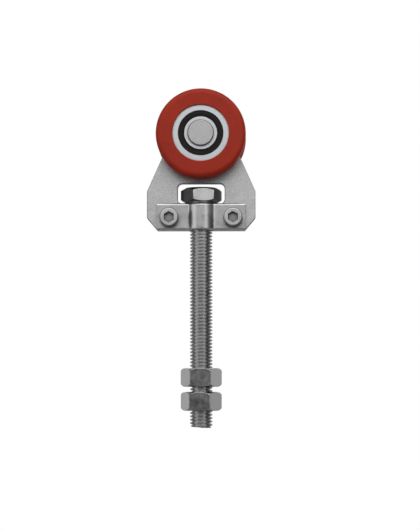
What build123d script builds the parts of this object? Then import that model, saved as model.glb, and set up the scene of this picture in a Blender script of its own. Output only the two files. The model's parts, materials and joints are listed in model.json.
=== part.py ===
from build123d import *
from math import acos, degrees, sqrt, tan, radians
import os

# Twin-wheel hanger for a top-hung sliding door. Two wheels on one riveted axle run on the lips
# of a C-shaped track, with a plate between them. A hexagon bolt hangs in the plate's window,
# held by two clamped straps, and carries the door bracket between two nuts.
# The origin is the axle's centre: X runs along the track, Y along the axle and Z up, in mm.

# ---------------------------------------------------------------- driving dimensions
# Clearances
fit_gap = 0.02  # between pieces that are pressed or clamped together
running_gap = 0.05  # between pieces that turn or slide on each other

# Wheels
wheel_d = 40.0
wheel_w = 10.0
wheel_gap = 1.5  # from the plate's face to the wheel
tread_crown = 0.15  # the tread is this much lower at its edges
shoulder_r = 2.3
lip_overlap = 0.5  # how far the wheel's lips cover the bearing
lip_chamfer = 0.25

# Ball bearings
bearing_bore = 10.0
bearing_od = 26.0
bearing_w = 8.0
bearing_chamfer = 0.3
ball_d = 4.763
ball_count = 7
race_conformity = 1.03  # groove radius over ball radius
outer_shoulder = 1.1  # from the balls' pitch circle out to the outer ring
inner_shoulder = 1.75  # from the balls' pitch circle in to the inner ring
cage_wall = 1.9
cage_back = 0.35
cage_reach = 1.2  # how far the cage's claws pass the balls' middle
pocket_gap = 0.1
seal_t = 0.75
seal_recess = 0.2
seal_groove = 0.3
seal_lip_w = 0.9  # the thin lip beside the inner ring
seal_lip_t = 0.45

# Axle
axle_head_d = 11.6
axle_head_t = 1.5
axle_head_chamfer = 0.35
spacer_d = 14.0

# Plate
plate_t = 5.0
plate_w = 48.5
plate_crown_r = 12.0
plate_side_h = 12.0
plate_corner_x = 4.6
plate_corner_z = 5.5
plate_corner_r = 1.5
plate_edge = 0.3  # chamfer round both faces
window_side_gap = 1.25  # beside the bolt head's corners
window_head_room = 1.9
window_drop = 0.1  # the window's sill lies this much below the straps' top
window_r = 2.2
notch_gap = 0.25

# Straps
strap_t = 2.0
strap_h = 12.0
strap_w = 39.5
strap_bolt_gap = 0.2
strap_bend_r = 2.5  # on the outside of the bend
strap_edge_r = 0.9

# Clamp screws and their nuts
screw_d = 5.0
screw_spacing = 28.4
screw_drop = 0.45  # below the straps' middle
screw_length = 14.0
screw_hole_gap = 0.25
screw_head_d = 8.5
screw_head_h = 5.0
screw_head_r = 0.5
screw_tip_chamfer = 0.7
socket_af = 4.0
socket_depth = 2.5
socket_mouth = 0.3  # chamfer round the socket
clamp_nut_af = 8.0
clamp_nut_h = 4.0

# Hanger bolt and its nuts
rail_room = 3.4  # from the wheels' lowest point to the bolt's head
bolt_d = 10.0
bolt_length = 100.0
bolt_tip_chamfer = 0.7
head_af = 16.0
head_h = 7.0
head_turn = 8.5  # degrees about the bolt
washer_face_d = 14.5
washer_face_t = 0.5
nut_h = 8.4
nut_bore_chamfer = 0.5
tip_reach = 7.65  # bolt below the lower nut
bracket_gap = 2.2  # between the two nuts
upper_nut_turn = -2.1
lower_nut_turn = -4.7

# Turned corners of hexagons: the flat face's diameter over the width across flats, and degrees
head_face_share = 0.87
head_corner_slope = 32.0
nut_face_share = 1.04
nut_corner_slope = 45.0

# ---------------------------------------------------------------- worked out from them
# Along the axle
wheel_y = plate_t / 2 + wheel_gap + wheel_w / 2
bearing_inner_y = wheel_y - bearing_w / 2
bearing_outer_y = wheel_y + bearing_w / 2

# Bearing section
pitch_r = (bearing_bore + bearing_od) / 4
ball_r = ball_d / 2
groove_r = ball_r * race_conformity
outer_land_r = pitch_r + outer_shoulder
inner_land_r = pitch_r - inner_shoulder
seal_mid = bearing_w / 2 - seal_recess - seal_t / 2

# Heights
head_top_z = -(wheel_d / 2 + rail_room)
head_seat_z = head_top_z - head_h
strap_top_z = head_seat_z - running_gap
strap_bottom_z = strap_top_z - strap_h
screw_z = (strap_top_z + strap_bottom_z) / 2 - screw_drop
bolt_tip_z = head_seat_z - bolt_length
lower_nut_z = bolt_tip_z + tip_reach
upper_nut_z = lower_nut_z + nut_h + bracket_gap

# Straps
tab_y = plate_t / 2 + fit_gap + strap_t / 2
clamp_y = plate_t / 2 + fit_gap + strap_t + fit_gap
hump_r = bolt_d / 2 + strap_bolt_gap + strap_t / 2
bend_r = strap_bend_r + strap_t / 2
bend_y = tab_y + bend_r
bend_x = sqrt((hump_r + bend_r) ** 2 - bend_y**2)
bend_angle = degrees(acos(bend_y / (hump_r + bend_r)))
screw_x = screw_spacing / 2

sides = {"front": -1, "rear": 1}

os.makedirs("parts", exist_ok=True)


def hexagonal_bar(across_flats, height, turn, seat, face_share, corner_slope):
    """Stand a hexagon bar on the plane seat, with its corners turned to a cone at both ends."""
    corner_r = across_flats / sqrt(3)
    face_r = across_flats * face_share / 2
    cone_h = (corner_r - face_r) * tan(radians(corner_slope))
    with BuildPart(mode=Mode.PRIVATE) as bar:
        with BuildSketch(seat):
            RegularPolygon(across_flats / 2, 6, major_radius=False, rotation=turn)
        extrude(amount=height)
        with BuildSketch(Plane(seat.origin, x_dir=seat.x_dir, z_dir=-seat.y_dir)):
            Polygon(
                (0, 0),
                (face_r, 0),
                (corner_r, cone_h),
                (corner_r, height - cone_h),
                (face_r, height),
                (0, height),
                align=None,
            )
        revolve(axis=Axis(seat.origin, seat.z_dir), mode=Mode.INTERSECT)
    add(bar.part)


# ---------------------------------------------------------------- plate
with BuildPart() as plate:
    with BuildSketch(Plane.XZ) as outline:
        half_w = plate_w / 2
        corner_z = strap_bottom_z + plate_corner_z
        Circle(plate_crown_r)
        Polygon(
            (half_w, corner_z + plate_side_h),
            (half_w, corner_z),
            (half_w - plate_corner_x, strap_bottom_z),
            (plate_corner_x - half_w, strap_bottom_z),
            (-half_w, corner_z),
            (-half_w, corner_z + plate_side_h),
            align=None,
        )
        make_hull()
        corners = outline.vertices().filter_by_position(Axis.Y, strap_bottom_z, -plate_crown_r)
        fillet(corners, plate_corner_r)
        Circle(bearing_bore / 2 + fit_gap, mode=Mode.SUBTRACT)
        window_w = 2 * (head_af / sqrt(3) + window_side_gap)
        window_top_z = head_top_z + window_head_room
        window_sill_z = strap_top_z - window_drop
        with Locations((0, (window_top_z + window_sill_z) / 2)):
            RectangleRounded(window_w, window_top_z - window_sill_z, window_r, mode=Mode.SUBTRACT)
        with Locations((0, (window_sill_z + strap_bottom_z) / 2)):
            notch_h = window_sill_z - strap_bottom_z
            Rectangle(bolt_d + 2 * notch_gap, notch_h, mode=Mode.SUBTRACT)
        with Locations((-screw_x, screw_z), (screw_x, screw_z)):
            Circle(screw_d / 2 + screw_hole_gap, mode=Mode.SUBTRACT)
    extrude(amount=plate_t / 2, both=True)
    for face in plate.faces().filter_by(Axis.Y):
        chamfer(face.outer_wire().edges(), plate_edge)
plate.part.label = "hanger_plate"
export_step(plate.part, "parts/hanger_plate.step")

# ---------------------------------------------------------------- axle
with BuildPart() as axle:
    with BuildSketch() as section:
        axle_end_y = bearing_outer_y + fit_gap + axle_head_t
        with Locations((bearing_bore / 4, 0)):
            Rectangle(bearing_bore / 2, 2 * axle_end_y)
        head_y = axle_end_y - axle_head_t / 2
        with Locations((axle_head_d / 4, -head_y), (axle_head_d / 4, head_y)):
            Rectangle(axle_head_d / 2, axle_head_t)
        rims = section.vertices().group_by(Axis.X)[-1].sort_by(Axis.Y)
        chamfer([rims[0], rims[-1]], axle_head_chamfer)
    revolve(axis=Axis.Y)
axle.part.label = "axle"
export_step(axle.part, "parts/axle.step")

# ---------------------------------------------------------------- wheels and bearings
for side, facing in sides.items():
    across = Plane((0, facing * wheel_y, 0), x_dir=(1, 0, 0), z_dir=(0, 0, 1))

    with BuildPart() as spacer:
        with BuildSketch(Plane.XZ.offset(-facing * (plate_t / 2 + fit_gap))):
            Circle(spacer_d / 2)
            Circle(bearing_bore / 2 + fit_gap, mode=Mode.SUBTRACT)
        extrude(amount=-facing * (bearing_inner_y - plate_t / 2 - 2 * fit_gap))
    spacer.part.label = f"{side}_spacer"
    export_step(spacer.part, f"parts/{side}_spacer.step")

    with BuildPart() as tyre:
        with BuildSketch(across) as section:
            tread_edge_r = wheel_d / 2 - tread_crown
            seat_r = bearing_od / 2 + fit_gap
            seat_y = bearing_w / 2 + fit_gap
            lip_x = bearing_od / 2 - lip_overlap
            with BuildLine():
                ThreePointArc((tread_edge_r, -wheel_w / 2), (wheel_d / 2, 0), (tread_edge_r, wheel_w / 2))
                Polyline(
                    (tread_edge_r, wheel_w / 2),
                    (lip_x, wheel_w / 2),
                    (lip_x, seat_y),
                    (seat_r, seat_y),
                    (seat_r, -seat_y),
                    (lip_x, -seat_y),
                    (lip_x, -wheel_w / 2),
                    (tread_edge_r, -wheel_w / 2),
                )
            make_face()
            fillet(section.vertices().group_by(Axis.X)[-1], shoulder_r)
            lips = section.vertices().group_by(Axis.X)[0].sort_by(Axis.Y)
            chamfer([lips[0], lips[-1]], lip_chamfer)
        revolve(axis=Axis.Y)
    tyre.part.label = f"{side}_tyre"
    export_step(tyre.part, f"parts/{side}_tyre.step")

    with BuildPart() as outer_ring:
        with BuildSketch(across) as section:
            with Locations(((outer_land_r + bearing_od / 2) / 2, 0)):
                Rectangle(bearing_od / 2 - outer_land_r, bearing_w)
            chamfer(section.vertices().group_by(Axis.X)[-1], bearing_chamfer)
            with Locations((pitch_r, 0)):
                Circle(groove_r, mode=Mode.SUBTRACT)
            with Locations((outer_land_r, -seal_mid), (outer_land_r, seal_mid)):
                Rectangle(2 * seal_groove, seal_t + 2 * fit_gap, mode=Mode.SUBTRACT)
        revolve(axis=Axis.Y)
    outer_ring.part.label = f"{side}_bearing_outer_ring"
    export_step(outer_ring.part, f"parts/{side}_bearing_outer_ring.step")

    with BuildPart() as inner_ring:
        with BuildSketch(across) as section:
            bore_r = bearing_bore / 2 + fit_gap
            with Locations(((bore_r + inner_land_r) / 2, 0)):
                Rectangle(inner_land_r - bore_r, bearing_w)
            chamfer(section.vertices().group_by(Axis.X)[0], bearing_chamfer)
            with Locations((pitch_r, 0)):
                Circle(groove_r, mode=Mode.SUBTRACT)
        revolve(axis=Axis.Y)
    inner_ring.part.label = f"{side}_bearing_inner_ring"
    export_step(inner_ring.part, f"parts/{side}_bearing_inner_ring.step")

    ball_ring = Plane((0, facing * wheel_y, 0), x_dir=(0, 0, 1), z_dir=(0, facing, 0))

    with BuildPart(ball_ring) as balls:
        with PolarLocations(pitch_r, ball_count):
            Sphere(ball_r)
    balls.part.label = f"{side}_bearing_balls"
    export_step(balls.part, f"parts/{side}_bearing_balls.step")

    with BuildPart(ball_ring) as cage:
        with BuildSketch(ball_ring.offset(-cage_reach)):
            Circle(pitch_r + cage_wall / 2)
            Circle(pitch_r - cage_wall / 2, mode=Mode.SUBTRACT)
        extrude(amount=cage_reach + ball_r + pocket_gap + cage_back)
        with PolarLocations(pitch_r, ball_count):
            Sphere(ball_r + pocket_gap, mode=Mode.SUBTRACT)
    cage.part.label = f"{side}_bearing_cage"
    export_step(cage.part, f"parts/{side}_bearing_cage.step")

    for place, seal_side in {"outer": facing, "inner": -facing}.items():
        with BuildPart() as seal:
            with BuildSketch(across) as section:
                seal_in_r = inner_land_r + running_gap
                seal_out_r = outer_land_r + seal_groove - running_gap
                with Locations(((seal_in_r + seal_out_r) / 2, seal_side * seal_mid)):
                    Rectangle(seal_out_r - seal_in_r, seal_t)
                step_y = seal_side * (seal_mid + seal_lip_t / 2)
                with Locations((seal_in_r + seal_lip_w / 2, step_y)):
                    Rectangle(seal_lip_w, seal_t - seal_lip_t, mode=Mode.SUBTRACT)
            revolve(axis=Axis.Y)
        seal.part.label = f"{side}_{place}_seal"
        export_step(seal.part, f"parts/{side}_{place}_seal.step")

# ---------------------------------------------------------------- straps
for side, facing in sides.items():
    foot = Plane((0, 0, strap_bottom_z), x_dir=(facing, 0, 0), z_dir=(0, 0, 1))

    with BuildPart() as strap:
        with BuildSketch(foot):
            with BuildLine():
                Line((-strap_w / 2, tab_y), (-bend_x, tab_y))
                CenterArc((-bend_x, bend_y), bend_r, -90, bend_angle)
                CenterArc((0, 0), hump_r, 90 - bend_angle, 2 * bend_angle)
                CenterArc((bend_x, bend_y), bend_r, -90 - bend_angle, bend_angle)
                Line((bend_x, tab_y), (strap_w / 2, tab_y))
            trace(line_width=strap_t)
        extrude(amount=strap_h)
        long_edges = strap.faces().filter_by(Plane.XY).edges().filter_by(Axis.Y, reverse=True)
        fillet(long_edges, strap_edge_r)
        with BuildSketch(Plane.XZ):
            with Locations((-screw_x, screw_z), (screw_x, screw_z)):
                Circle(screw_d / 2 + screw_hole_gap)
        extrude(amount=2 * tab_y, both=True, mode=Mode.SUBTRACT)
    strap.part.label = f"{side}_strap"
    export_step(strap.part, f"parts/{side}_strap.step")

# ---------------------------------------------------------------- clamp screws and nuts
for hand, screw_side in {"left": -1, "right": 1}.items():
    seat = Plane((screw_side * screw_x, -clamp_y, screw_z), x_dir=(1, 0, 0), z_dir=(0, -1, 0))

    with BuildPart() as screw:
        with BuildSketch(seat):
            Circle(screw_head_d / 2)
        extrude(amount=screw_head_h)
        fillet(screw.edges().sort_by(Axis.Y)[0], screw_head_r)
        with BuildSketch(seat):
            Circle(screw_d / 2)
        extrude(amount=-screw_length)
        chamfer(screw.edges().sort_by(Axis.Y)[-1], screw_tip_chamfer)
        with BuildSketch(seat.offset(screw_head_h)):
            RegularPolygon(socket_af / 2, 6, major_radius=False, rotation=90)
        extrude(amount=-socket_depth, mode=Mode.SUBTRACT)
        with BuildSketch(seat.offset(screw_head_h)):
            Circle(socket_af / sqrt(3))
        extrude(amount=-socket_mouth, taper=45, mode=Mode.SUBTRACT)
    screw.part.label = f"clamp_screw_{hand}"
    export_step(screw.part, f"parts/clamp_screw_{hand}.step")

    nut_seat = Plane((screw_side * screw_x, clamp_y, screw_z), x_dir=(-1, 0, 0), z_dir=(0, 1, 0))

    with BuildPart() as clamp_nut:
        hexagonal_bar(clamp_nut_af, clamp_nut_h, 0, nut_seat, nut_face_share, nut_corner_slope)
        with BuildSketch(nut_seat):
            Circle(screw_d / 2 + fit_gap)
        extrude(amount=clamp_nut_h, mode=Mode.SUBTRACT)
    clamp_nut.part.label = f"clamp_nut_{hand}"
    export_step(clamp_nut.part, f"parts/clamp_nut_{hand}.step")

# ---------------------------------------------------------------- hanger bolt and nuts
with BuildPart() as bolt:
    seat = Plane.XY.offset(head_seat_z)
    hexagon_h = head_h - washer_face_t
    hexagon_seat = seat.offset(washer_face_t)
    hexagonal_bar(head_af, hexagon_h, head_turn, hexagon_seat, head_face_share, head_corner_slope)
    with BuildSketch(seat):
        Circle(washer_face_d / 2)
    extrude(amount=washer_face_t)
    with BuildSketch(seat):
        Circle(bolt_d / 2)
    extrude(amount=-bolt_length)
    chamfer(bolt.edges().sort_by(Axis.Z)[0], bolt_tip_chamfer)
bolt.part.label = "hanger_bolt"
export_step(bolt.part, "parts/hanger_bolt.step")

for name, nut_z, turn in (
    ("upper_nut", upper_nut_z, upper_nut_turn),
    ("lower_nut", lower_nut_z, lower_nut_turn),
):
    with BuildPart() as nut:
        nut_seat = Plane.XY.offset(nut_z)
        hexagonal_bar(head_af, nut_h, turn, nut_seat, nut_face_share, nut_corner_slope)
        with BuildSketch(nut_seat):
            Circle(bolt_d / 2 + running_gap)
        extrude(amount=nut_h, mode=Mode.SUBTRACT)
        bore_rims = nut.edges().filter_by(GeomType.CIRCLE).filter_by(
            lambda edge: abs(edge.radius - bolt_d / 2 - running_gap) < fit_gap
        )
        chamfer(bore_rims, nut_bore_chamfer)
    nut.part.label = name
    export_step(nut.part, f"parts/{name}.step")
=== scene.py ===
import json
from math import asin, cos, pi, radians, sin, sqrt, tan

import bmesh
import bpy
from mathutils import Matrix, Vector

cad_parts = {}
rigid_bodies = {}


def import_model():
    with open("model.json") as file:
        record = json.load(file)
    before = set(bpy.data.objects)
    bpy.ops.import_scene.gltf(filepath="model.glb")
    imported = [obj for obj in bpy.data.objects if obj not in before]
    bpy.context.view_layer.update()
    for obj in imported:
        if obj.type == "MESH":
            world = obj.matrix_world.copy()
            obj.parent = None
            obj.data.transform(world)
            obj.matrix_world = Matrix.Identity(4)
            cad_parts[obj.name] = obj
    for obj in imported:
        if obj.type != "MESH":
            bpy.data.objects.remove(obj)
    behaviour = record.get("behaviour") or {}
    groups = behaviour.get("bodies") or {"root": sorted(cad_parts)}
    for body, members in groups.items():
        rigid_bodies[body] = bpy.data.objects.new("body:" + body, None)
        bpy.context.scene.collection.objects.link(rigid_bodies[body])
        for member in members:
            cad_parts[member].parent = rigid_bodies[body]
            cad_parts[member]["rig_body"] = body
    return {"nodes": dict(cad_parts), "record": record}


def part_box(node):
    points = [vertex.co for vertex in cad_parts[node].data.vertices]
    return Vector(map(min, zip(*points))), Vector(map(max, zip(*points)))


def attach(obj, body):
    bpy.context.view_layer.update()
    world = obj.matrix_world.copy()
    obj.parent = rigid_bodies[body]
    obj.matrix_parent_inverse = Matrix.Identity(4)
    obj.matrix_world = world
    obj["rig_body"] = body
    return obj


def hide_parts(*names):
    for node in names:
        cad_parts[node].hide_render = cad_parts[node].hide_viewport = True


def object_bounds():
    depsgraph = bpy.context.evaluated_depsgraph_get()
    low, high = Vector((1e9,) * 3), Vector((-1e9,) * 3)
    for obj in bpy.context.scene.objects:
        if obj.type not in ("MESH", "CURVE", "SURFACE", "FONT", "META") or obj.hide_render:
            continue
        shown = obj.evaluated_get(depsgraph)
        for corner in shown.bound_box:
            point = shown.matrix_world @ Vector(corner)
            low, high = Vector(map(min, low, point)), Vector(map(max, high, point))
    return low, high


# Twin-wheel hanger for a top-hung sliding door: its finished surfaces, threads and light.
# Everything is in metres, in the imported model's own frame: X along the track, Y along the axle, Z up.

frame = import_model()
cad_low, cad_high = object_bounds()

MM = 0.001

# ---------------------------------------------------------------- sizes the frame doesn't hold
RUNNING_GAP = 0.05 * MM

# Bolt
BOLT_R = 5.0 * MM
THREAD_PITCH = 1.5 * MM
THREAD_DEPTH = 0.92 * MM
TIP_CHAMFER = 0.7 * MM
TIP_SLANT = 0.5 * MM  # the sawn end is this much out of square
WASHER_FACE_R = 7.25 * MM
WASHER_FACE_T = 0.5 * MM
HEX_AF = 16.0 * MM  # of its head and of both nuts
HEAD_TURN = radians(8.5)
HEAD_FACE_R = 7.0 * MM  # of the flat end, inside its turned corners
HEAD_FOOT_R = 7.45 * MM
HEAD_SLOPE = radians(32)
HEAD_EDGE = 0.2 * MM

# Nuts
UPPER_NUT_TURN = radians(-2.1)
LOWER_NUT_TURN = radians(-4.7)
NUT_FACE_R = 7.1 * MM
NUT_ROUND_R = 2.3 * MM  # the arc that its corners are turned to
NUT_SIDE_R = 0.45 * MM  # between two sides
NUT_EDGE_R = 0.2 * MM  # between a side and an end
NUT_BORE_R = BOLT_R + RUNNING_GAP
NUT_BORE_CHAMFER = 0.5 * MM

# Clamp screws
SCREW_R = 2.5 * MM
SCREW_LENGTH = 14.0 * MM
SCREW_PITCH = 0.8 * MM
SCREW_THREAD_DEPTH = 0.45 * MM
SCREW_TIP_CHAMFER = 0.7 * MM
SCREW_HEAD_R = 4.25 * MM
SCREW_HEAD_H = 5.0 * MM
SCREW_HEAD_ROUND = 0.5 * MM
SCREW_HEAD_RIM = 0.08 * MM  # a ring this far inside the rounding keeps the end shaded flat
SCREW_FOOT = 0.25 * MM  # chamfer under the head
SOCKET_AF = 4.0 * MM
SOCKET_DEPTH = 2.5 * MM
SOCKET_CHAMFER = 0.22 * MM
KNURLS = 44
KNURL_R = 0.3 * MM
KNURL_DEPTH = 0.14 * MM
KNURL_LOW, KNURL_HIGH = 0.5 * MM, 4.2 * MM  # above the head's seat

ROD_REACH = 0.2 * MM  # a threaded rod runs on this far into its head

# Rounded edges of the pieces that are copies of CAD nodes, by slot: the others keep the CAD's shading
EDGES = {
    "plate_steel": 0.08 * MM,
    "strap_steel": 0.5 * MM,
    "axle_steel": 0.1 * MM,
    "screw_steel": 0.08 * MM,
}

# ---------------------------------------------------------------- how finely shapes are drawn
AROUND = 144
CORNER_STEPS = (-1.4, -0.9, -0.4, 0.4, 0.9, 1.4)  # extra degrees beside each corner of a hexagon
END_STEPS = 4  # across each arc of a nut's turned corner
HEAD_ROUND_STEPS = 4
EDGE_STEPS = 3
KNURL_SIDES = 10
BOLT_STEPS_AROUND = 48
SCREW_STEPS_AROUND = 36
ROWS_PER_PITCH = 16
ROWS_BEYOND = 3.0  # pitches that a thread's rows run past its length
ROWS_BELOW = 2.0  # how many of them are below its low end
ROOT_END, CREST_START = 0.1, 0.7  # of a thread, from its root's middle at 0 to its crest's at 1
MERGE = 2e-6  # points nearer than this are one
SAME_POINT = 1e-7  # so are those of two CAD triangles that meet
FLAT_ANGLE = radians(0.5)  # CAD triangles within this angle are one flat
SAME_AREA = 2e-8  # m2, by which a flat must pass its rounded edge to keep its own shading
FLAT_WEIGHT = 90  # how far a large flat's shading wins over a small face's

X, Y, Z = Vector((1, 0, 0)), Vector((0, 1, 0)), Vector((0, 0, 1))
FACING_FRONT = Matrix.Rotation(pi / 2, 4, "X")  # turns +Z to -Y
WHITE = (1, 1, 1, 1)


# ---------------------------------------------------------------- node helpers
def add_node(tree, kind, inputs=None, **settings):
    """A new node with its settings, and with its inputs set to values or linked to sockets."""
    node = tree.nodes.new(kind)
    for name, value in settings.items():
        setattr(node, name, value)
    for key, value in (inputs or {}).items():
        if isinstance(value, bpy.types.NodeSocket):
            tree.links.new(value, node.inputs[key])
        else:
            node.inputs[key].default_value = value
    return node


def maths(tree, operation, *values, clamp=False):
    """The result of one Math node on numbers or sockets."""
    node = add_node(tree, "ShaderNodeMath", dict(enumerate(values)), operation=operation)
    if clamp:
        node.use_clamp = True
    return node.outputs[0]


# ---------------------------------------------------------------- shared surface effects
FINE_GRAIN, BROAD_CLOUD = 9000.0, 260.0  # noise scales, a metre
WEAR_NOISE, WEAR_LEAST = 0.8, 0.45  # how patchy a rubbed edge is, and how rubbed it is at least
EFFECT_RAYS = 6  # that look for edges and crevices


def effect_group(name, inputs, outputs):
    """An empty shader node group with named inputs and outputs."""
    tree = bpy.data.node_groups.new(name, "ShaderNodeTree")
    for label, kind, value in inputs:
        socket = tree.interface.new_socket(name=label, in_out="INPUT", socket_type=kind)
        socket.default_value = value
    for label, kind in outputs:
        tree.interface.new_socket(name=label, in_out="OUTPUT", socket_type=kind)
    return tree, add_node(tree, "NodeGroupInput"), add_node(tree, "NodeGroupOutput")


def make_plated_grain():
    """Fine grain and broad cloudiness of a zinc plated surface."""
    tree, given, result = effect_group(
        "plated_grain",
        [
            ("Grain Scale", "NodeSocketFloat", FINE_GRAIN),
            ("Cloud Scale", "NodeSocketFloat", BROAD_CLOUD),
        ],
        [("Grain", "NodeSocketFloat"), ("Cloud", "NodeSocketFloat")],
    )
    place = add_node(tree, "ShaderNodeTexCoord").outputs["Object"]
    grain = add_node(
        tree, "ShaderNodeTexNoise",
        {"Vector": place, "Scale": given.outputs["Grain Scale"], "Detail": 3.0, "Roughness": 0.6},
    )
    cloud = add_node(
        tree, "ShaderNodeTexNoise",
        {"Vector": place, "Scale": given.outputs["Cloud Scale"], "Detail": 4.0, "Roughness": 0.55},
    )
    tree.links.new(grain.outputs["Fac"], result.inputs["Grain"])
    tree.links.new(cloud.outputs["Fac"], result.inputs["Cloud"])
    return tree


def make_edge_wear():
    """A mask that is 1 on edges, broken up by noise."""
    tree, given, result = effect_group(
        "edge_wear",
        [("Width", "NodeSocketFloat", 0.25 * MM), ("Break Up", "NodeSocketFloat", 900.0)],
        [("Mask", "NodeSocketFloat")],
    )
    rounded = add_node(tree, "ShaderNodeBevel", {"Radius": given.outputs["Width"]}, samples=EFFECT_RAYS)
    normal = add_node(tree, "ShaderNodeNewGeometry").outputs["Normal"]
    dot = add_node(
        tree, "ShaderNodeVectorMath", {0: rounded.outputs[0], 1: normal}, operation="DOT_PRODUCT"
    )
    edge = add_node(
        tree, "ShaderNodeMapRange",
        {"Value": dot.outputs["Value"], "From Min": 0.99, "From Max": 0.85},
    )
    place = add_node(tree, "ShaderNodeTexCoord").outputs["Object"]
    noise = add_node(
        tree, "ShaderNodeTexNoise",
        {"Vector": place, "Scale": given.outputs["Break Up"], "Detail": 3.0},
    )
    broken = maths(tree, "MULTIPLY_ADD", noise.outputs["Fac"], WEAR_NOISE, WEAR_LEAST, clamp=True)
    tree.links.new(maths(tree, "MULTIPLY", edge.outputs[0], broken), result.inputs["Mask"])
    return tree


def make_cut_and_shaded_sides():
    """A mask that is 1 on faces turned away from Y: sheared, turned or knurled sides, partly painted
    shade.
    """
    tree, _, result = effect_group("cut_side", [], [("Mask", "NodeSocketFloat")])
    normal = add_node(tree, "ShaderNodeTexCoord").outputs["Normal"]
    facing = add_node(tree, "ShaderNodeSeparateXYZ", {0: normal}).outputs["Y"]
    side = add_node(
        tree, "ShaderNodeMapRange",
        {"Value": maths(tree, "ABSOLUTE", facing), "From Min": 0.97, "From Max": 0.85},
    )
    tree.links.new(side.outputs[0], result.inputs["Mask"])
    return tree


def make_worn_thread():
    """The normal of a thread about Z, turned towards its rod's own surface by Share."""
    tree, given, result = effect_group(
        "worn_thread", [("Share", "NodeSocketFloat", 0.5)], [("Normal", "NodeSocketVector")]
    )
    place = add_node(tree, "ShaderNodeTexCoord").outputs["Object"]
    level = add_node(tree, "ShaderNodeVectorMath", {0: place, 1: (1, 1, 0)}, operation="MULTIPLY")
    outward = add_node(tree, "ShaderNodeVectorMath", {0: level.outputs[0]}, operation="NORMALIZE")
    turned = add_node(
        tree, "ShaderNodeVectorTransform", {0: outward.outputs[0]},
        vector_type="NORMAL", convert_from="OBJECT", convert_to="WORLD",
    )
    own = add_node(tree, "ShaderNodeNewGeometry").outputs["Normal"]
    mixed = add_node(
        tree, "ShaderNodeMix", {0: given.outputs["Share"], 4: own, 5: turned.outputs[0]},
        data_type="VECTOR",
    )
    normal = add_node(tree, "ShaderNodeVectorMath", {0: mixed.outputs[1]}, operation="NORMALIZE")
    tree.links.new(normal.outputs[0], result.inputs["Normal"])
    return tree


def make_painted_crevice_shade():
    """A mask of painted shade, from ambient occlusion: 1 in grooves and where two faces meet in a
    corner.
    """
    tree, given, result = effect_group(
        "painted_crevice_shade", [("Reach", "NodeSocketFloat", 1.0 * MM)], [("Mask", "NodeSocketFloat")]
    )
    shade = add_node(
        tree, "ShaderNodeAmbientOcclusion", {"Distance": given.outputs["Reach"]}, samples=EFFECT_RAYS
    )
    tree.links.new(maths(tree, "SUBTRACT", 1.0, shade.outputs["AO"], clamp=True), result.inputs["Mask"])
    return tree


PLATED_GRAIN = make_plated_grain()
EDGE_WEAR = make_edge_wear()
PAINTED_CREVICE_SHADE = make_painted_crevice_shade()
CUT_AND_SHADED_SIDES = make_cut_and_shaded_sides()
WORN_THREAD = make_worn_thread()


def use_group(tree, group, **inputs):
    """A shared effect in a material's tree, with its inputs set. An underscore stands for a space."""
    node = add_node(tree, "ShaderNodeGroup", node_tree=group)
    for name, value in inputs.items():
        node.inputs[name.replace("_", " ")].default_value = value
    return node


def mix_colour(tree, share, first, second, blend="MIX"):
    """The first colour, turned into the second by share."""
    node = add_node(
        tree, "ShaderNodeMix", {"Factor": share, 6: first, 7: second}, data_type="RGBA", blend_type=blend
    )
    return node.outputs[2]


def span(tree, value, low, high):
    """A noise value, most of which lies between 0.3 and 0.7, stretched to run from low to high."""
    node = add_node(
        tree, "ShaderNodeMapRange",
        {"Value": value, "From Min": 0.3, "From Max": 0.7, "To Min": low, "To Max": high},
    )
    return node.outputs[0]


# ---------------------------------------------------------------- materials
GRAIN_SHOWN = 2.5  # how strongly a metal's grain shows in its tone
ROUGH_SPREAD = 0.05  # either side of a metal's roughness
CUT_AND_SHADE_TONE, CUT_AND_SHADE_WARMTH = 0.08, 0.03  # of sheared, turned or knurled sides: partly their own finish, partly painted shade
RUBBED_TONE = 1.25  # over the light tone
# Painted shade in grooves and corners: its tone and warmth
PAINTED_SHADE_TONE, PAINTED_SHADE_WARMTH = 0.25, 0.04  # over the dark tone, and over the metal's warmth
METAL_BUMP = 0.25

RED_DARK, RED_LIGHT = (0.278, 0.014, 0.002, 1), (0.340, 0.0195, 0.005, 1)
RED_RUBBED = (0.48, 0.09, 0.055, 1)
RED_RUB, RED_WEAR = 0.6 * MM, 0.25  # how wide its rubbed edges are, and how much they show
RUBBER_DARK, RUBBER_GREASY = (0.004, 0.005, 0.005, 1), (0.014, 0.012, 0.009, 1)
MOULDED_BUMP, MOULDED_GRAIN = 0.3, 0.03 * MM


def new_material(name):
    """A material, its node tree and its surface node."""
    material = bpy.data.materials.new(name)
    material.use_nodes = True
    return material, material.node_tree, material.node_tree.nodes["Principled BSDF"]


def grey(level, warmth=0.0):
    """A grey, a little redder by warmth."""
    return (level * (1 + warmth), level, level * (1 - warmth), 1.0)


def add_bump(tree, surface, height, strength, depth, normal=None):
    """Raise the surface by height, on its own normal or on a given one."""
    bump = add_node(
        tree, "ShaderNodeBump", {"Height": height, "Strength": strength, "Distance": depth}
    )
    if normal is not None:
        tree.links.new(normal, bump.inputs["Normal"])
    tree.links.new(bump.outputs["Normal"], surface.inputs["Normal"])


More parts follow.
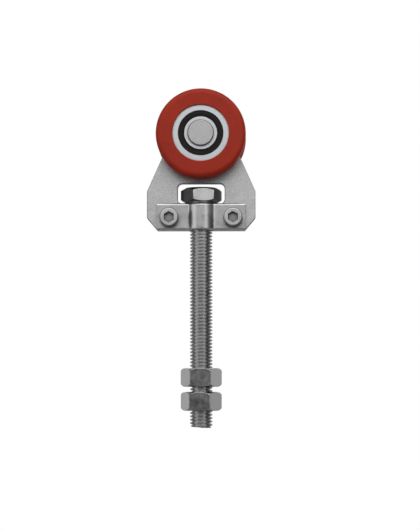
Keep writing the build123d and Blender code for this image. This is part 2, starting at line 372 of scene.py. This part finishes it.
def plated_steel(
    name, light, dark, rough, grain=0.03, fine=FINE_GRAIN, cloud=BROAD_CLOUD, crevice_shade=0.5, reach=1.0,
    wear=0.3, rub=0.25, warmth=0.0, cut_and_shade=0.0, worn=0.0,
):
    """Zinc plated or bare steel: cloudy tone, fine grain, painted shade in grooves and corners, edges
    rubbed bright.

    grain, reach and rub are in mm: how deep its grain is, how far the painted shade comes out of its
    corners and how wide its rubbed edges are. The sides that don't face Y are darker by cut_and_shade,
    partly as a cut finish and partly as painted shade, and a thread's shading is softened by worn.
    """
    material, tree, surface = new_material(name)
    plated = use_group(tree, PLATED_GRAIN, Cloud_Scale=cloud, Grain_Scale=fine).outputs
    edges = use_group(tree, EDGE_WEAR, Width=rub * MM).outputs
    crevice_shade_mask = use_group(tree, PAINTED_CREVICE_SHADE, Reach=reach * MM).outputs
    clouded = span(tree, plated["Cloud"], 0.0, 1.0)
    tone = mix_colour(tree, clouded, grey(dark, warmth), grey(light, warmth))
    speck = span(tree, plated["Grain"], 1.0 - GRAIN_SHOWN * grain, 1.0 + GRAIN_SHOWN * grain)
    tone = mix_colour(tree, 1.0, tone, speck, blend="MULTIPLY")
    # Sides turned away from Y, such as head sides and window walls, darkened: partly a cut finish,
    # partly painted shade
    if cut_and_shade:
        side = maths(tree, "MULTIPLY", use_group(tree, CUT_AND_SHADED_SIDES).outputs["Mask"], cut_and_shade)
        tone = mix_colour(tree, side, tone, grey(CUT_AND_SHADE_TONE, CUT_AND_SHADE_WARMTH))
    rubbed = maths(tree, "MULTIPLY", edges["Mask"], wear)
    tone = mix_colour(tree, rubbed, tone, grey(min(1.0, light * RUBBED_TONE), warmth))
    # Painted shade: the tone darkens in grooves and corners, by ambient occlusion
    crevice_shade_share = maths(tree, "MULTIPLY", crevice_shade_mask["Mask"], crevice_shade)
    tone = mix_colour(tree, crevice_shade_share, tone, grey(dark * PAINTED_SHADE_TONE, warmth + PAINTED_SHADE_WARMTH))
    tree.links.new(tone, surface.inputs["Base Color"])
    surface.inputs["Metallic"].default_value = 1.0
    roughness = span(tree, plated["Cloud"], rough - ROUGH_SPREAD, rough + ROUGH_SPREAD)
    tree.links.new(roughness, surface.inputs["Roughness"])
    normal = use_group(tree, WORN_THREAD, Share=worn).outputs["Normal"] if worn else None
    add_bump(tree, surface, plated["Grain"], METAL_BUMP, grain * MM, normal)
    return material


def moulded(name, dark, light, cloud, fine, shine, least_rough, most_rough, rubbed=None):
    """Plastic or rubber: satin and slightly cloudy, and paler where its edges rub if rubbed is given."""
    material, tree, surface = new_material(name)
    mottle = use_group(tree, PLATED_GRAIN, Cloud_Scale=cloud, Grain_Scale=fine).outputs
    tone = mix_colour(tree, span(tree, mottle["Cloud"], 0.0, 1.0), dark, light)
    if rubbed:
        edges = use_group(tree, EDGE_WEAR, Width=RED_RUB).outputs
        tone = mix_colour(tree, maths(tree, "MULTIPLY", edges["Mask"], RED_WEAR), tone, rubbed)
    tree.links.new(tone, surface.inputs["Base Color"])
    surface.inputs["Specular IOR Level"].default_value = shine
    tree.links.new(span(tree, mottle["Cloud"], least_rough, most_rough), surface.inputs["Roughness"])
    add_bump(tree, surface, mottle["Grain"], MOULDED_BUMP, MOULDED_GRAIN)
    return material


# crevice_shade: painted shade in grooves and corners; cut_and_shade: sides darkened, partly painted
# shade
MATERIALS = {
    "plate_steel": plated_steel(
        "plate_steel", light=0.545, dark=0.49, rough=0.41, grain=0.07, fine=1700.0,
        crevice_shade=0.2, reach=2.0, wear=0.9, cut_and_shade=0.3,
    ),
    "strap_steel": plated_steel(
        "strap_steel", light=0.56, dark=0.48, rough=0.30, grain=0.015, fine=2200.0,
        crevice_shade=0.5, reach=0.8, wear=0.1, rub=0.6,
    ),
    "axle_steel": plated_steel(
        "axle_steel", light=0.46, dark=0.41, rough=0.48, grain=0.04, fine=2800.0, crevice_shade=0.95, cut_and_shade=0.5
    ),
    "bearing_steel": plated_steel(
        "bearing_steel", light=0.60, dark=0.56, rough=0.40, grain=0.006,
        crevice_shade=0.7, reach=0.8, wear=0.1, warmth=-0.03,
    ),
    "screw_steel": plated_steel(
        "screw_steel", light=0.55, dark=0.48, rough=0.36, grain=0.04, crevice_shade=0.98, reach=4.0, cut_and_shade=0.8
    ),
    "bolt_steel": plated_steel(
        "bolt_steel", light=0.62, dark=0.56, rough=0.36, grain=0.04, fine=2800.0,
        crevice_shade=0.97, reach=3.0, cut_and_shade=0.85,
    ),
    # The bolt's own steel in a darker tone for its thread: painted shade of the thread's grooves
    "bolt_thread": plated_steel(
        "bolt_thread", light=0.345, dark=0.285, rough=0.35, grain=0.005, crevice_shade=0.05, wear=0.0, worn=0.94
    ),
    "nut_steel": plated_steel(
        "nut_steel", light=0.44, dark=0.38, rough=0.22, grain=0.004, fine=2600.0, cloud=300.0,
        crevice_shade=0.5, wear=0.1,
    ),
    "wheel_plastic": moulded(
        "wheel_plastic", RED_DARK, RED_LIGHT, cloud=110.0, fine=4000.0, shine=0.24,
        least_rough=0.52, most_rough=0.62, rubbed=RED_RUBBED,
    ),
    "seal_rubber": moulded(
        "seal_rubber", RUBBER_DARK, RUBBER_GREASY, cloud=320.0, fine=5000.0, shine=0.2,
        least_rough=0.55, most_rough=0.75,
    ),
    "cage_plastic": plated_steel("cage_plastic", light=0.5, dark=0.42, rough=0.5),
}


# ---------------------------------------------------------------- mesh helpers
def new_object(name, data):
    """An object in the scene, at the origin."""
    piece = bpy.data.objects.new(name, data)
    bpy.context.scene.collection.objects.link(piece)
    return piece


def evaluated_mesh(piece):
    """Apply every modifier of piece and keep the plain mesh."""
    depsgraph = bpy.context.evaluated_depsgraph_get()
    mesh = bpy.data.meshes.new_from_object(piece.evaluated_get(depsgraph))
    piece.modifiers.clear()
    piece.data = mesh
    return piece


def soften(piece, edge=0.0, angle=25, sharp=40, flats=True):
    """Round the edges of piece that turn past angle, and shade it smooth up to sharp, both in degrees.

    With flats, its flat faces keep their own shading beside curved ones.
    """
    if edge:
        bevel = piece.modifiers.new("edge", "BEVEL")
        bevel.width, bevel.segments = edge, EDGE_STEPS
        bevel.limit_method, bevel.angle_limit = "ANGLE", radians(angle)
        bevel.use_clamp_overlap = True
        evaluated_mesh(piece)
    piece.data.shade_smooth()
    piece.data.set_sharp_from_angle(angle=radians(sharp))
    if flats:
        flat = piece.modifiers.new("flats", "WEIGHTED_NORMAL")
        flat.keep_sharp, flat.weight, flat.thresh = True, FLAT_WEIGHT, SAME_AREA
        evaluated_mesh(piece)
    return piece


def loft(rings, ring_closes=False):
    """A mesh through rings of points. Its ends are closed by fans, or the last ring joins the first."""
    mesh = bpy.data.meshes.new("loft")
    shape = bmesh.new()
    rows = [[shape.verts.new(point) for point in ring] for ring in rings]
    pairs = list(zip(rows, rows[1:]))
    if ring_closes:
        pairs.append((rows[-1], rows[0]))
    for lower, upper in pairs:
        count = len(lower)
        for i in range(count):
            j = (i + 1) % count
            shape.faces.new((lower[i], lower[j], upper[j], upper[i]))
    if not ring_closes:
        for row in (rows[0], rows[-1]):
            centre = shape.verts.new(sum((v.co for v in row), Vector()) / len(row))
            for i, vertex in enumerate(row):
                shape.faces.new((vertex, row[(i + 1) % len(row)], centre))
    bmesh.ops.remove_doubles(shape, verts=shape.verts, dist=MERGE)
    bmesh.ops.recalc_face_normals(shape, faces=shape.faces)
    shape.to_mesh(mesh)
    shape.free()
    return mesh


def sharp_reach(angle, across_flats):
    """How far a hexagon's side is from its axis at this angle."""
    return across_flats / 2 / cos(angle % (pi / 3) - pi / 6)


def rounded_reach(angle, across_flats, corner_r):
    """How far a hexagon's side is from its axis at this angle, when corner_r rounds its corners."""
    off_corner = pi / 6 - abs(angle % (pi / 3) - pi / 6)
    centre = (across_flats / 2 - corner_r) / cos(pi / 6)
    if tan(off_corner) * (centre + corner_r * cos(pi / 6)) < corner_r * sin(pi / 6):
        return centre * cos(off_corner) + sqrt(corner_r**2 - (centre * sin(off_corner)) ** 2)
    return across_flats / 2 / cos(pi / 6 - off_corner)


class Turned:
    """Rings of points about an axis, for lofts: circles, hexagons and their turned corners."""

    def __init__(self, origin, axis, side, turn):
        self.origin, self.axis, self.side, self.turn = origin, axis, side, turn
        self.other = axis.cross(side)
        plain = [2 * pi * i / AROUND for i in range(AROUND)]
        corners = [pi / 3 * i + radians(off) for i in range(6) for off in CORNER_STEPS]
        self.angles = sorted({round(a % (2 * pi), 9) for a in plain + corners})

    def point(self, angle, radius, height):
        """A point at height along the axis, radius out from it."""
        angle += self.turn
        out = cos(angle) * self.side + sin(angle) * self.other
        return self.origin + self.axis * height + radius * out

    def circle(self, radius, height):
        """A circle about the axis."""
        return [self.point(a, radius, height) for a in self.angles]

    def hexagon(self, across_flats, height, face_r=None, slope=0.0):
        """A hexagon. Its corners leave height by slope for each unit that they pass face_r."""
        ring = []
        for a in self.angles:
            radius = sharp_reach(a, across_flats)
            drop = max(0.0, radius - face_r) * slope if face_r else 0.0
            ring.append(self.point(a, radius, height - drop))
        return ring

    def turned_face(self, across_flats, height, face_r):
        """The flat end of a hexagon: the circle of radius face_r, cut by the flats."""
        return [self.point(a, min(sharp_reach(a, across_flats), face_r), height) for a in self.angles]

    def coned_hexagon(self, across_flats, low, low_face_r, high, high_face_r, slope):
        """Rings over a hexagon with both ends turned to cones, from its lower face to its upper one."""
        return [
            self.turned_face(across_flats, low, low_face_r),
            self.hexagon(across_flats, low, low_face_r, -tan(slope)),
            self.hexagon(across_flats, high, high_face_r, tan(slope)),
            self.turned_face(across_flats, high, high_face_r),
        ]

    def rounded_end(self, across_flats, corner_r, height, up, face_r, round_r, edge_r):
        """Rings from the flat end of a hexagon, over corners turned to an arc, out to its sides.

        The end looks along up (1 or -1). The arc round_r starts at face_r, and edge_r rounds the last
        edge.
        """
        rings = [[] for step in range(2 * END_STEPS + 1)]
        for a in self.angles:
            out = rounded_reach(a, across_flats, corner_r)
            slope = asin(min(1.0, max(0.0, (out - edge_r - face_r) / (round_r - edge_r))))
            inner = min(face_r, out - edge_r)
            for step in range(END_STEPS + 1):
                t = slope * step / END_STEPS
                drop = up * round_r * (1 - cos(t))
                rings[step].append(self.point(a, inner + round_r * sin(t), height - drop))
            middle = inner + (round_r - edge_r) * sin(slope)
            depth = round_r - (round_r - edge_r) * cos(slope)
            for step in range(1, END_STEPS + 1):
                t = slope + (pi / 2 - slope) * step / END_STEPS
                drop = up * (depth - edge_r * cos(t))
                rings[END_STEPS + step].append(self.point(a, middle + edge_r * sin(t), height - drop))
        return rings


# ---------------------------------------------------------------- threads, by geometry nodes
def make_thread_tree():
    """A closed threaded rod along Z: a grid wound into a helix, cut to length by its chamfered tip."""
    tree = bpy.data.node_groups.new("threaded_rod", "GeometryNodeTree")
    tree.interface.new_socket(name="Geometry", in_out="OUTPUT", socket_type="NodeSocketGeometry")
    for name, kind, value in (
        ("Pitch", "NodeSocketFloat", THREAD_PITCH),
        ("Radius", "NodeSocketFloat", BOLT_R),
        ("Depth", "NodeSocketFloat", THREAD_DEPTH),
        ("Low", "NodeSocketFloat", 0.0),
        ("High", "NodeSocketFloat", 0.1),
        ("Tip Chamfer", "NodeSocketFloat", TIP_CHAMFER),
        ("Tip Slant", "NodeSocketFloat", 0.0),
        ("Steps Around", "NodeSocketInt", BOLT_STEPS_AROUND),
        ("Steps Along", "NodeSocketInt", 100),
        ("Material", "NodeSocketMaterial", None),
    ):
        socket = tree.interface.new_socket(name=name, in_out="INPUT", socket_type=kind)
        if value is not None:
            socket.default_value = value
    given = add_node(tree, "NodeGroupInput").outputs
    result = add_node(tree, "NodeGroupOutput")

    columns = maths(tree, "ADD", given["Steps Around"], 1)
    grid = add_node(
        tree, "GeometryNodeMeshGrid",
        {"Size X": 1.0, "Size Y": 1.0, "Vertices X": columns, "Vertices Y": given["Steps Along"]},
    )
    position = add_node(tree, "GeometryNodeInputPosition").outputs[0]
    spot = add_node(tree, "ShaderNodeSeparateXYZ", {0: position})
    turn = maths(tree, "ADD", spot.outputs["X"], 0.5)
    along = maths(tree, "ADD", spot.outputs["Y"], 0.5)
    angle = maths(tree, "MULTIPLY", turn, 2 * pi)

    # Height: the rows run from two pitches below Low to one above High, and rise one pitch a turn
    length = maths(tree, "SUBTRACT", given["High"], given["Low"])
    wound = maths(tree, "MULTIPLY_ADD", given["Pitch"], ROWS_BEYOND, length)
    start = maths(tree, "MULTIPLY_ADD", given["Pitch"], -ROWS_BELOW, given["Low"])
    flat_height = maths(tree, "MULTIPLY_ADD", along, wound, start)
    height = maths(tree, "MULTIPLY_ADD", turn, given["Pitch"], flat_height)
    slope = maths(tree, "MULTIPLY_ADD", maths(tree, "COSINE", angle), -0.5, 0.5)
    end = maths(tree, "MULTIPLY_ADD", given["Tip Slant"], slope, given["Low"])
    kept = maths(tree, "MINIMUM", maths(tree, "MAXIMUM", height, end), given["High"])

    # Radius: flat crest, flat root and flanks that ease into both
    phase = maths(tree, "FRACT", maths(tree, "DIVIDE", flat_height, given["Pitch"]))
    from_root = maths(tree, "ABSOLUTE", maths(tree, "MULTIPLY_ADD", phase, 2.0, -1.0))
    rise = add_node(
        tree, "ShaderNodeMapRange",
        {
            "Value": from_root, "From Min": ROOT_END, "From Max": CREST_START,
            "To Min": -1.0, "To Max": 0.0,
        },
        interpolation_type="SMOOTHSTEP",
    )
    ridge = maths(tree, "MULTIPLY_ADD", rise.outputs[0], given["Depth"], given["Radius"])
    tip_radius = maths(tree, "SUBTRACT", given["Radius"], given["Tip Chamfer"])
    above_tip = maths(tree, "SUBTRACT", kept, end)
    cone = maths(tree, "ADD", tip_radius, above_tip)
    radius = maths(tree, "MINIMUM", ridge, cone)

    # The first and last rows close the ends at the axis
    hair = 1e-6
    not_first = maths(tree, "GREATER_THAN", along, hair)
    not_last = maths(tree, "LESS_THAN", along, 1.0 - hair)
    radius = maths(tree, "MULTIPLY", radius, maths(tree, "MULTIPLY", not_first, not_last))

    place = add_node(
        tree, "ShaderNodeCombineXYZ",
        {
            "X": maths(tree, "MULTIPLY", radius, maths(tree, "COSINE", angle)),
            "Y": maths(tree, "MULTIPLY", radius, maths(tree, "SINE", angle)),
            "Z": kept,
        },
    )
    moved = add_node(
        tree, "GeometryNodeSetPosition", {"Geometry": grid.outputs["Mesh"], "Position": place.outputs[0]}
    )
    merged = add_node(
        tree, "GeometryNodeMergeByDistance", {"Geometry": moved.outputs[0], "Distance": MERGE}
    )
    real = add_node(tree, "GeometryNodeRealizeInstances", {"Geometry": merged.outputs[0]})
    dressed = add_node(
        tree, "GeometryNodeSetMaterial", {"Geometry": real.outputs[0], "Material": given["Material"]}
    )
    tree.links.new(dressed.outputs[0], result.inputs["Geometry"])
    return tree


def make_knurl_tree():
    """Rounded ribs standing round a head, along Z."""
    tree = bpy.data.node_groups.new("knurled_band", "GeometryNodeTree")
    tree.interface.new_socket(name="Geometry", in_out="OUTPUT", socket_type="NodeSocketGeometry")
    for name, kind in (
        ("Count", "NodeSocketInt"),
        ("Outer Radius", "NodeSocketFloat"),
        ("Rib Radius", "NodeSocketFloat"),
        ("Low", "NodeSocketFloat"),
        ("High", "NodeSocketFloat"),
        ("Material", "NodeSocketMaterial"),
    ):
        tree.interface.new_socket(name=name, in_out="INPUT", socket_type=kind)
    given = add_node(tree, "NodeGroupInput").outputs
    length = maths(tree, "SUBTRACT", given["High"], given["Low"])
    middle = maths(tree, "MULTIPLY", maths(tree, "ADD", given["High"], given["Low"]), 0.5)
    circle_r = maths(tree, "SUBTRACT", given["Outer Radius"], given["Rib Radius"])
    circle = add_node(tree, "GeometryNodeMeshCircle", {"Vertices": given["Count"], "Radius": circle_r})
    rib = add_node(
        tree, "GeometryNodeMeshCylinder",
        {
            "Vertices": KNURL_SIDES, "Side Segments": 1, "Fill Segments": 1,
            "Radius": given["Rib Radius"], "Depth": length,
        },
    )
    ribs = add_node(
        tree, "GeometryNodeInstanceOnPoints",
        {"Points": circle.outputs["Mesh"], "Instance": rib.outputs["Mesh"]},
    )
    lift = add_node(tree, "ShaderNodeCombineXYZ", {"Z": middle})
    lifted = add_node(
        tree, "GeometryNodeTranslateInstances",
        {"Instances": ribs.outputs["Instances"], "Translation": lift.outputs[0]},
    )
    real = add_node(tree, "GeometryNodeRealizeInstances", {"Geometry": lifted.outputs[0]})
    dressed = add_node(
        tree, "GeometryNodeSetMaterial", {"Geometry": real.outputs[0], "Material": given["Material"]}
    )
    add_node(tree, "NodeGroupOutput", {"Geometry": dressed.outputs[0]})
    return tree


THREAD_TREE = make_thread_tree()
KNURL_TREE = make_knurl_tree()


def grown(name, tree, **sizes):
    """A plain mesh made by a geometry node tree from named sizes. An underscore stands for a space."""
    piece = new_object(name, bpy.data.meshes.new(name))
    modifier = piece.modifiers.new("grown", "NODES")
    modifier.node_group = tree
    for item in tree.interface.items_tree:
        key = item.name.replace(" ", "_")
        if item.in_out == "INPUT" and key in sizes:
            modifier[item.identifier] = sizes[key]
    return evaluated_mesh(piece)


def threaded_rod(name, material, **sizes):
    """A threaded rod along Z, its chamfered tip at Low."""
    turns = (sizes["High"] - sizes["Low"]) / sizes["Pitch"] + ROWS_BEYOND
    rows = round(turns * ROWS_PER_PITCH) + 1
    rod = grown(name, THREAD_TREE, Steps_Along=rows, Material=material, **sizes)
    return soften(rod, sharp=50, flats=False)


# ---------------------------------------------------------------- camera
CAMERA_PLACE = Vector((0.020, -0.85, -0.110))
AIM = Vector((0.0039, 0.0, -0.0578))
VIEW_HEIGHT = 0.2369  # how much its upright frame takes in at AIM
SENSOR = 36.0


def make_camera():
    """A distant view of the hanger's front, from a little below it and to its right."""
    data = bpy.data.cameras.new("camera")
    data.sensor_width = SENSOR
    sight = AIM - CAMERA_PLACE
    data.lens = SENSOR * sight.length / VIEW_HEIGHT
    camera = new_object("camera", data)
    camera.location = CAMERA_PLACE
    camera.rotation_mode = "QUATERNION"
    camera.rotation_quaternion = sight.to_track_quat("-Z", "Y")
    bpy.context.scene.camera = camera


# ---------------------------------------------------------------- light and floor
# Panels of the studio that the metal mirrors. Two pairs of degrees give the middle and half width of
# each: first by compass, 0 towards the camera and positive to its right, then above the horizon. Then
# come how soft its edge is, in degrees, and its brightness.
STUDIO_PANELS = (
    (180, 77, -10, 38, 7, 0.74),  # white room behind the hanger
    (0, 46, 48.5, 43, 4, 0.96),  # pale wall above the camera
    (0, 40, -40, 38, 6, 0.10),  # dim floor and camera in front
    (-54, 19, 12, 34, 4, 1.06),  # left window
    (37, 8, 12, 34, 4, 1.2),  # right window
)
STUDIO_DARK = 0.05

# Soft lamps: place, size and watts
LAMPS = {
    "overhead": ((0.2, -0.6, 0.75), (1.9, 1.5), 10.0),
    "behind": ((0.0, 0.8, 0.6), (1.4, 1.0), 4.0),
}

FLOOR_R = 0.8
FLOOR_DROP = 0.12  # below the bolt's tip
FLOOR_SIDES = 96
FLOOR_TONE, FLOOR_ROUGH = 0.3, 0.9
FLOOR_GLOW = 0.85  # to the camera alone


def smooth_step(tree, value, low, high):
    """0 at low and 1 at high, with an eased slope between."""
    node = add_node(
        tree, "ShaderNodeMapRange", {"Value": value, "From Min": low, "From Max": high},
        interpolation_type="SMOOTHSTEP",
    )
    return node.outputs[0]


def studio_panel(tree, compass, height, panel):
    """The brightness of one soft-edged panel in a direction given by its two angles in radians."""
    middle, half, rise, half_rise, soft, level = panel
    turned = maths(tree, "SUBTRACT", compass, radians(middle))
    away = maths(tree, "ABSOLUTE", maths(tree, "WRAP", turned, pi, -pi))
    across = smooth_step(tree, away, radians(half + soft), radians(half - soft))
    off = maths(tree, "ABSOLUTE", maths(tree, "SUBTRACT", height, radians(rise)))
    upright = smooth_step(tree, off, radians(half_rise + soft), radians(half_rise - soft))
    return maths(tree, "MULTIPLY", maths(tree, "MULTIPLY", across, upright), level)


def make_world():
    """White to the camera, and a studio with dark sides to everything else."""
    world = bpy.data.worlds.new("studio")
    bpy.context.scene.world = world
    world.use_nodes = True
    tree = world.node_tree
    tree.nodes.clear()
    direction = add_node(tree, "ShaderNodeTexCoord").outputs["Generated"]
    part = add_node(tree, "ShaderNodeSeparateXYZ", {0: direction}).outputs
    compass = maths(tree, "ARCTAN2", part["X"], maths(tree, "MULTIPLY", part["Y"], -1.0))
    height = maths(tree, "ARCSINE", part["Z"])
    level = STUDIO_DARK
    for panel in STUDIO_PANELS:
        level = maths(tree, "MAXIMUM", studio_panel(tree, compass, height, panel), level)
    ray = add_node(tree, "ShaderNodeLightPath").outputs
    room = add_node(tree, "ShaderNodeBackground", {"Color": level, "Strength": 1.0})
    white = add_node(tree, "ShaderNodeBackground", {"Color": WHITE, "Strength": 1.0})
    mixed = add_node(
        tree, "ShaderNodeMixShader", {0: ray["Is Camera Ray"], 1: room.outputs[0], 2: white.outputs[0]}
    )
    add_node(tree, "ShaderNodeOutputWorld", {"Surface": mixed.outputs[0]})


def make_lamp(name, place, size, power):
    """A soft lamp at place, facing the hanger's middle."""
    data = bpy.data.lights.new(name, "AREA")
    data.shape = "RECTANGLE"
    data.size, data.size_y = size
    data.energy = power
    lamp = new_object(name, data)
    middle = (cad_low + cad_high) / 2
    lamp.location = place
    lamp.rotation_mode = "QUATERNION"
    lamp.rotation_quaternion = (middle - Vector(place)).to_track_quat("-Z", "Y")


def make_floor():
    """A pale floor well below the bolt, white to the camera except where the hanger shades it."""
    material, tree, surface = new_material("floor")
    surface.inputs["Base Color"].default_value = grey(FLOOR_TONE)
    surface.inputs["Roughness"].default_value = FLOOR_ROUGH
    seen = add_node(tree, "ShaderNodeLightPath").outputs["Is Camera Ray"]
    tree.links.new(maths(tree, "MULTIPLY", seen, FLOOR_GLOW), surface.inputs["Emission Strength"])
    surface.inputs["Emission Color"].default_value = WHITE
    mesh = bpy.data.meshes.new("floor")
    shape = bmesh.new()
    bmesh.ops.create_circle(shape, cap_ends=True, radius=FLOOR_R, segments=FLOOR_SIDES)
    shape.to_mesh(mesh)
    shape.free()
    mesh.transform(Matrix.Translation((0, 0, cad_low.z - FLOOR_DROP)))
    mesh.materials.append(material)
    new_object("floor", mesh)


# ---------------------------------------------------------------- pieces
def paint(piece, material):
    """Give piece one material."""
    piece.data.materials.clear()
    piece.data.materials.append(MATERIALS[material])


def dress(piece, node, slot, material=None):
    """Give piece the slot's material or a given one, and put it in a CAD node's place on its body."""
    paint(piece, material or slot)
    body = frame["nodes"][node]["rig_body"]
    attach(piece, body)
    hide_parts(node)


def smoothed_copy(node, edge):
    """A merged copy of a CAD node: with its edges rounded by edge, or shaded as the CAD node is."""
    source = frame["nodes"][node].data
    shading = [tuple(corner.vector) for corner in source.corner_normals]
    mesh = source.copy()
    shape = bmesh.new()
    shape.from_mesh(mesh)
    bmesh.ops.remove_doubles(shape, verts=shape.verts, dist=SAME_POINT)
    if edge:
        bmesh.ops.dissolve_limit(shape, angle_limit=FLAT_ANGLE, verts=shape.verts, edges=shape.edges)
    shape.to_mesh(mesh)
    shape.free()
    piece = new_object(node + "_finished", mesh)
    if edge:
        return soften(piece, edge, angle=30)
    mesh.shade_smooth()
    mesh.normals_split_custom_set(shading)
    return piece


def node_slot(node):
    """The material slot that the record gives a CAD node."""
    return next(s["material_slot"] for s in frame["record"]["subparts"] if s["node"] == node)


def join(name, pieces):
    """One object from several, with their shading kept."""
    with bpy.context.temp_override(active_object=pieces[0], selected_editable_objects=pieces):
        bpy.ops.object.join()
    pieces[0].name = pieces[0].data.name = name
    return pieces[0]


def make_bolt():
    """The hanger bolt: a turned hexagon head on a washer face, and a threaded shank."""
    low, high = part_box("hanger_bolt")
    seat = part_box("front_strap")[1].z + RUNNING_GAP
    washer_top = seat + WASHER_FACE_T
    turned = Turned(Vector((0, 0, 0)), Z, X, HEAD_TURN)
    rings = [turned.circle(WASHER_FACE_R, seat), turned.circle(WASHER_FACE_R, washer_top)]
    rings += turned.coned_hexagon(HEX_AF, washer_top, HEAD_FOOT_R, high.z, HEAD_FACE_R, HEAD_SLOPE)
    head = soften(new_object("hanger_bolt_head", loft(rings)), HEAD_EDGE)
    rod = threaded_rod(
        "hanger_bolt_thread", MATERIALS["bolt_thread"],
        Pitch=THREAD_PITCH, Radius=BOLT_R, Depth=THREAD_DEPTH, Low=low.z, High=seat + ROD_REACH,
        Tip_Chamfer=TIP_CHAMFER, Tip_Slant=TIP_SLANT, Steps_Around=BOLT_STEPS_AROUND,
    )
    dress(head, "hanger_bolt", "bolt_steel")
    dress(rod, "hanger_bolt", "bolt_steel", "bolt_thread")


def make_clamp_screw(node):
    """A socket head screw: knurled head, hexagon socket and a cut thread."""
    low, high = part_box(node)
    middle = (low + high) / 2
    seat_y = high.y - SCREW_LENGTH
    turned = Turned(Vector((middle.x, seat_y, middle.z)), -Y, X, pi / 2)
    core_r = SCREW_HEAD_R - KNURL_DEPTH
    rings = [
        turned.circle(SCREW_R, 0),
        turned.circle(core_r - SCREW_FOOT, 0),
        turned.circle(core_r, SCREW_FOOT),
    ]
    for step in range(HEAD_ROUND_STEPS + 1):
        a = pi / 2 * step / HEAD_ROUND_STEPS
        rounded_r = core_r - SCREW_HEAD_ROUND * (1 - cos(a))
        rings.append(turned.circle(rounded_r, SCREW_HEAD_H - SCREW_HEAD_ROUND * (1 - sin(a))))
    socket_floor = SCREW_HEAD_H - SOCKET_DEPTH
    rings += [
        turned.circle(core_r - SCREW_HEAD_ROUND - SCREW_HEAD_RIM, SCREW_HEAD_H),
        turned.hexagon(SOCKET_AF + 2 * SOCKET_CHAMFER, SCREW_HEAD_H),
        turned.hexagon(SOCKET_AF, SCREW_HEAD_H - SOCKET_CHAMFER),
        turned.hexagon(SOCKET_AF, socket_floor),
        turned.circle(SOCKET_AF / 4, socket_floor),
    ]
    core = new_object(node + "_core", loft(rings))
    knurls = grown(
        node + "_knurls", KNURL_TREE,
        Count=KNURLS, Outer_Radius=SCREW_HEAD_R, Rib_Radius=KNURL_R, Low=KNURL_LOW, High=KNURL_HIGH,
        Material=MATERIALS["screw_steel"],
    )
    knurls.data.transform(Matrix.Translation((middle.x, seat_y, middle.z)) @ FACING_FRONT)
    head = soften(join(node + "_head", [core, knurls]), sharp=30)
    shank = threaded_rod(
        node + "_thread", MATERIALS["screw_steel"],
        Pitch=SCREW_PITCH, Radius=SCREW_R, Depth=SCREW_THREAD_DEPTH, Low=0.0,
        High=SCREW_LENGTH + ROD_REACH, Tip_Chamfer=SCREW_TIP_CHAMFER, Steps_Around=SCREW_STEPS_AROUND,
    )
    shank.data.transform(Matrix.Translation((middle.x, high.y, middle.z)) @ FACING_FRONT)
    dress(head, node, "screw_steel")
    dress(shank, node, "screw_steel")


def make_nut(node, turn):
    """A hexagon nut: corners turned to an arc at both ends, and a plain bore with chamfered mouths."""
    low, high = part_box(node)
    turned = Turned(Vector((0, 0, 0)), Z, X, turn)
    shape = (NUT_FACE_R, NUT_ROUND_R, NUT_EDGE_R)
    rings = turned.rounded_end(HEX_AF, NUT_SIDE_R, low.z, -1, *shape)
    rings += reversed(turned.rounded_end(HEX_AF, NUT_SIDE_R, high.z, 1, *shape))
    mouth = NUT_BORE_R + NUT_BORE_CHAMFER
    rings += [
        turned.circle(mouth, high.z),
        turned.circle(NUT_BORE_R, high.z - NUT_BORE_CHAMFER),
        turned.circle(NUT_BORE_R, low.z + NUT_BORE_CHAMFER),
        turned.circle(mouth, low.z),
    ]
    nut = soften(new_object(node + "_finished", loft(rings, ring_closes=True)))
    dress(nut, node, "nut_steel")


def finish_others(made):
    """Finished copies of the CAD nodes not made yet. The hidden balls and cages are only painted."""
    for node in frame["nodes"]:
        if node in made:
            continue
        slot = node_slot(node)
        if "balls" in node or "cage" in node:
            paint(frame["nodes"][node], slot)
        else:
            dress(smoothed_copy(node, EDGES.get(slot, 0.0)), node, slot)


make_camera()
make_world()
make_floor()
for name, (place, size, power) in LAMPS.items():
    make_lamp(name, place, size, power)
make_bolt()
make_nut("upper_nut", UPPER_NUT_TURN)
make_nut("lower_nut", LOWER_NUT_TURN)
make_clamp_screw("clamp_screw_left")
make_clamp_screw("clamp_screw_right")
finish_others({"hanger_bolt", "upper_nut", "lower_nut", "clamp_screw_left", "clamp_screw_right"})

scene = bpy.context.scene
scene.view_settings.view_transform = "Standard"
